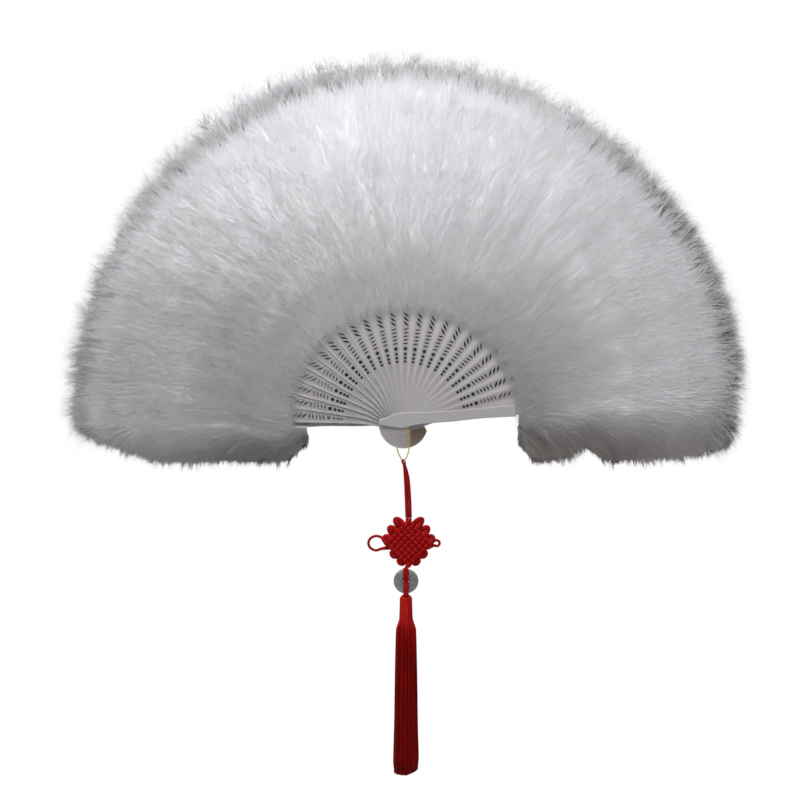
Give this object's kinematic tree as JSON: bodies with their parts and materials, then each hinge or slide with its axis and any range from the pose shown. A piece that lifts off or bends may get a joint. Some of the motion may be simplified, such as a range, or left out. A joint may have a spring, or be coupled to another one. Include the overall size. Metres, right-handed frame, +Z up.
{
  "type": "feather folding fan",
  "caption": "Feather folding fan with pierced pivoting sticks, plain guards, downy plumes, and a knotted cord with ring and tassel on a wire bail.",
  "frame": {"origin": "the point where the pivot's axis meets the front guard's flat outer face, with the fan open and upright", "axes": "+X to the right of someone facing the fan's front, +Y away from them along the pivot, +Z up"},
  "size_m": [0.5159, 0.0508, 0.5333],
  "materials": {
    "guard": "smooth, a little worn",
    "stick": "smooth, moulded and pierced",
    "down": "soft fluffy down",
    "brass": "drawn wire, slightly dull",
    "thread": "fine twisted thread",
    "cord": "satin cord",
    "binding": "thread wound close",
    "skirt": "straight silky threads",
    "ring": "polished, stone-like"
  },
  "bodies": {
    "front": {"guard_front": "guard", "rivet_pin": "brass", "plume_00": "down", "linking_thread": "thread"},
    "rear": {"guard_rear": "guard", "plume_24": "down"},
    "leaf_01": {"stick_01": "stick", "plume_01": "down"},
    "leaf_02": {"stick_02": "stick", "plume_02": "down"},
    "leaf_03": {"stick_03": "stick", "plume_03": "down"},
    "leaf_04": {"stick_04": "stick", "plume_04": "down"},
    "leaf_05": {"stick_05": "stick", "plume_05": "down"},
    "leaf_06": {"stick_06": "stick", "plume_06": "down"},
    "leaf_07": {"stick_07": "stick", "plume_07": "down"},
    "leaf_08": {"stick_08": "stick", "plume_08": "down"},
    "leaf_09": {"stick_09": "stick", "plume_09": "down"},
    "leaf_10": {"stick_10": "stick", "plume_10": "down"},
    "leaf_11": {"stick_11": "stick", "plume_11": "down"},
    "leaf_12": {"stick_12": "stick", "plume_12": "down"},
    "leaf_13": {"stick_13": "stick", "plume_13": "down"},
    "leaf_14": {"stick_14": "stick", "plume_14": "down"},
    "leaf_15": {"stick_15": "stick", "plume_15": "down"},
    "leaf_16": {"stick_16": "stick", "plume_16": "down"},
    "leaf_17": {"stick_17": "stick", "plume_17": "down"},
    "leaf_18": {"stick_18": "stick", "plume_18": "down"},
    "leaf_19": {"stick_19": "stick", "plume_19": "down"},
    "leaf_20": {"stick_20": "stick", "plume_20": "down"},
    "leaf_21": {"stick_21": "stick", "plume_21": "down"},
    "leaf_22": {"stick_22": "stick", "plume_22": "down"},
    "leaf_23": {"stick_23": "stick", "plume_23": "down"},
    "bail_wire": {"bail": "brass"},
    "cord_hank": {"hanging_cord": "cord"},
    "tassel": {"knot": "cord", "ring": "ring", "tassel_loop": "cord", "tassel_head": "binding", "tassel_skirt": "skirt"}
  },
  "joints": [
    {"name": "fan_fold", "type": "hinge", "parent": "front", "child": "rear", "pos_m": [0, 0, 0], "axis": [0, 1, 0], "range_deg": [0, 174], "deforming": ["plume_24", "plume_00", "linking_thread"]},
    {"name": "stick_01_turn", "type": "hinge", "parent": "front", "child": "leaf_01", "pos_m": [0, 0, 0], "axis": [0, 1, 0], "range_deg": [0, 7.35], "deforming": ["plume_01"]},
    {"name": "stick_02_turn", "type": "hinge", "parent": "front", "child": "leaf_02", "pos_m": [0, 0, 0], "axis": [0, 1, 0], "range_deg": [0, 14.6], "deforming": ["plume_02"]},
    {"name": "stick_03_turn", "type": "hinge", "parent": "front", "child": "leaf_03", "pos_m": [0, 0, 0], "axis": [0, 1, 0], "range_deg": [0, 21.85], "deforming": ["plume_03"]},
    {"name": "stick_04_turn", "type": "hinge", "parent": "front", "child": "leaf_04", "pos_m": [0, 0, 0], "axis": [0, 1, 0], "range_deg": [0, 29.1], "deforming": ["plume_04"]},
    {"name": "stick_05_turn", "type": "hinge", "parent": "front", "child": "leaf_05", "pos_m": [0, 0, 0], "axis": [0, 1, 0], "range_deg": [0, 36.35], "deforming": ["plume_05"]},
    {"name": "stick_06_turn", "type": "hinge", "parent": "front", "child": "leaf_06", "pos_m": [0, 0, 0], "axis": [0, 1, 0], "range_deg": [0, 43.6], "deforming": ["plume_06"]},
    {"name": "stick_07_turn", "type": "hinge", "parent": "front", "child": "leaf_07", "pos_m": [0, 0, 0], "axis": [0, 1, 0], "range_deg": [0, 50.85], "deforming": ["plume_07"]},
    {"name": "stick_08_turn", "type": "hinge", "parent": "front", "child": "leaf_08", "pos_m": [0, 0, 0], "axis": [0, 1, 0], "range_deg": [0, 58.1], "deforming": ["plume_08"]},
    {"name": "stick_09_turn", "type": "hinge", "parent": "front", "child": "leaf_09", "pos_m": [0, 0, 0], "axis": [0, 1, 0], "range_deg": [0, 65.35], "deforming": ["plume_09"]},
    {"name": "stick_10_turn", "type": "hinge", "parent": "front", "child": "leaf_10", "pos_m": [0, 0, 0], "axis": [0, 1, 0], "range_deg": [0, 72.6], "deforming": ["plume_10"]},
    {"name": "stick_11_turn", "type": "hinge", "parent": "front", "child": "leaf_11", "pos_m": [0, 0, 0], "axis": [0, 1, 0], "range_deg": [0, 79.85], "deforming": ["plume_11"]},
    {"name": "stick_12_turn", "type": "hinge", "parent": "front", "child": "leaf_12", "pos_m": [0, 0, 0], "axis": [0, 1, 0], "range_deg": [0, 87.1], "deforming": ["plume_12"]},
    {"name": "stick_13_turn", "type": "hinge", "parent": "front", "child": "leaf_13", "pos_m": [0, 0, 0], "axis": [0, 1, 0], "range_deg": [0, 94.35], "deforming": ["plume_13"]},
    {"name": "stick_14_turn", "type": "hinge", "parent": "front", "child": "leaf_14", "pos_m": [0, 0, 0], "axis": [0, 1, 0], "range_deg": [0, 101.6], "deforming": ["plume_14"]},
    {"name": "stick_15_turn", "type": "hinge", "parent": "front", "child": "leaf_15", "pos_m": [0, 0, 0], "axis": [0, 1, 0], "range_deg": [0, 108.85], "deforming": ["plume_15"]},
    {"name": "stick_16_turn", "type": "hinge", "parent": "front", "child": "leaf_16", "pos_m": [0, 0, 0], "axis": [0, 1, 0], "range_deg": [0, 116.1], "deforming": ["plume_16"]},
    {"name": "stick_17_turn", "type": "hinge", "parent": "front", "child": "leaf_17", "pos_m": [0, 0, 0], "axis": [0, 1, 0], "range_deg": [0, 123.35], "deforming": ["plume_17"]},
    {"name": "stick_18_turn", "type": "hinge", "parent": "front", "child": "leaf_18", "pos_m": [0, 0, 0], "axis": [0, 1, 0], "range_deg": [0, 130.6], "deforming": ["plume_18"]},
    {"name": "stick_19_turn", "type": "hinge", "parent": "front", "child": "leaf_19", "pos_m": [0, 0, 0], "axis": [0, 1, 0], "range_deg": [0, 137.85], "deforming": ["plume_19"]},
    {"name": "stick_20_turn", "type": "hinge", "parent": "front", "child": "leaf_20", "pos_m": [0, 0, 0], "axis": [0, 1, 0], "range_deg": [0, 145.1], "deforming": ["plume_20"]},
    {"name": "stick_21_turn", "type": "hinge", "parent": "front", "child": "leaf_21", "pos_m": [0, 0, 0], "axis": [0, 1, 0], "range_deg": [0, 152.35], "deforming": ["plume_21"]},
    {"name": "stick_22_turn", "type": "hinge", "parent": "front", "child": "leaf_22", "pos_m": [0, 0, 0], "axis": [0, 1, 0], "range_deg": [0, 159.6], "deforming": ["plume_22"]},
    {"name": "stick_23_turn", "type": "hinge", "parent": "front", "child": "leaf_23", "pos_m": [0, 0, 0], "axis": [0, 1, 0], "range_deg": [0, 166.85], "deforming": ["plume_23"]},
    {"name": "bail_swing", "type": "hinge", "parent": "front", "child": "bail_wire", "pos_m": [0, 0, 0], "axis": [0, 1, 0], "range_deg": [-30, 30]},
    {"name": "cord_swing", "type": "hinge", "parent": "bail_wire", "child": "cord_hank", "pos_m": [0, 0.0155, -0.0282], "axis": [0, 1, 0], "range_deg": [-30, 30]},
    {"name": "tassel_swing", "type": "hinge", "parent": "cord_hank", "child": "tassel", "pos_m": [0.0039, 0.0155, -0.0708], "axis": [1, 0, 0], "range_deg": [-20, 20]}
  ],
  "couplings": [
    {"joint": "stick_01_turn", "follows": "fan_fold", "ratio": 0.041667},
    {"joint": "stick_02_turn", "follows": "fan_fold", "ratio": 0.083333},
    {"joint": "stick_03_turn", "follows": "fan_fold", "ratio": 0.125},
    {"joint": "stick_04_turn", "follows": "fan_fold", "ratio": 0.16667},
    {"joint": "stick_05_turn", "follows": "fan_fold", "ratio": 0.20833},
    {"joint": "stick_06_turn", "follows": "fan_fold", "ratio": 0.25},
    {"joint": "stick_07_turn", "follows": "fan_fold", "ratio": 0.29167},
    {"joint": "stick_08_turn", "follows": "fan_fold", "ratio": 0.33333},
    {"joint": "stick_09_turn", "follows": "fan_fold", "ratio": 0.375},
    {"joint": "stick_10_turn", "follows": "fan_fold", "ratio": 0.41667},
    {"joint": "stick_11_turn", "follows": "fan_fold", "ratio": 0.45833},
    {"joint": "stick_12_turn", "follows": "fan_fold", "ratio": 0.5},
    {"joint": "stick_13_turn", "follows": "fan_fold", "ratio": 0.54167},
    {"joint": "stick_14_turn", "follows": "fan_fold", "ratio": 0.58333},
    {"joint": "stick_15_turn", "follows": "fan_fold", "ratio": 0.625},
    {"joint": "stick_16_turn", "follows": "fan_fold", "ratio": 0.66667},
    {"joint": "stick_17_turn", "follows": "fan_fold", "ratio": 0.70833},
    {"joint": "stick_18_turn", "follows": "fan_fold", "ratio": 0.75},
    {"joint": "stick_19_turn", "follows": "fan_fold", "ratio": 0.79167},
    {"joint": "stick_20_turn", "follows": "fan_fold", "ratio": 0.83333},
    {"joint": "stick_21_turn", "follows": "fan_fold", "ratio": 0.875},
    {"joint": "stick_22_turn", "follows": "fan_fold", "ratio": 0.91667},
    {"joint": "stick_23_turn", "follows": "fan_fold", "ratio": 0.95833}
  ]
}
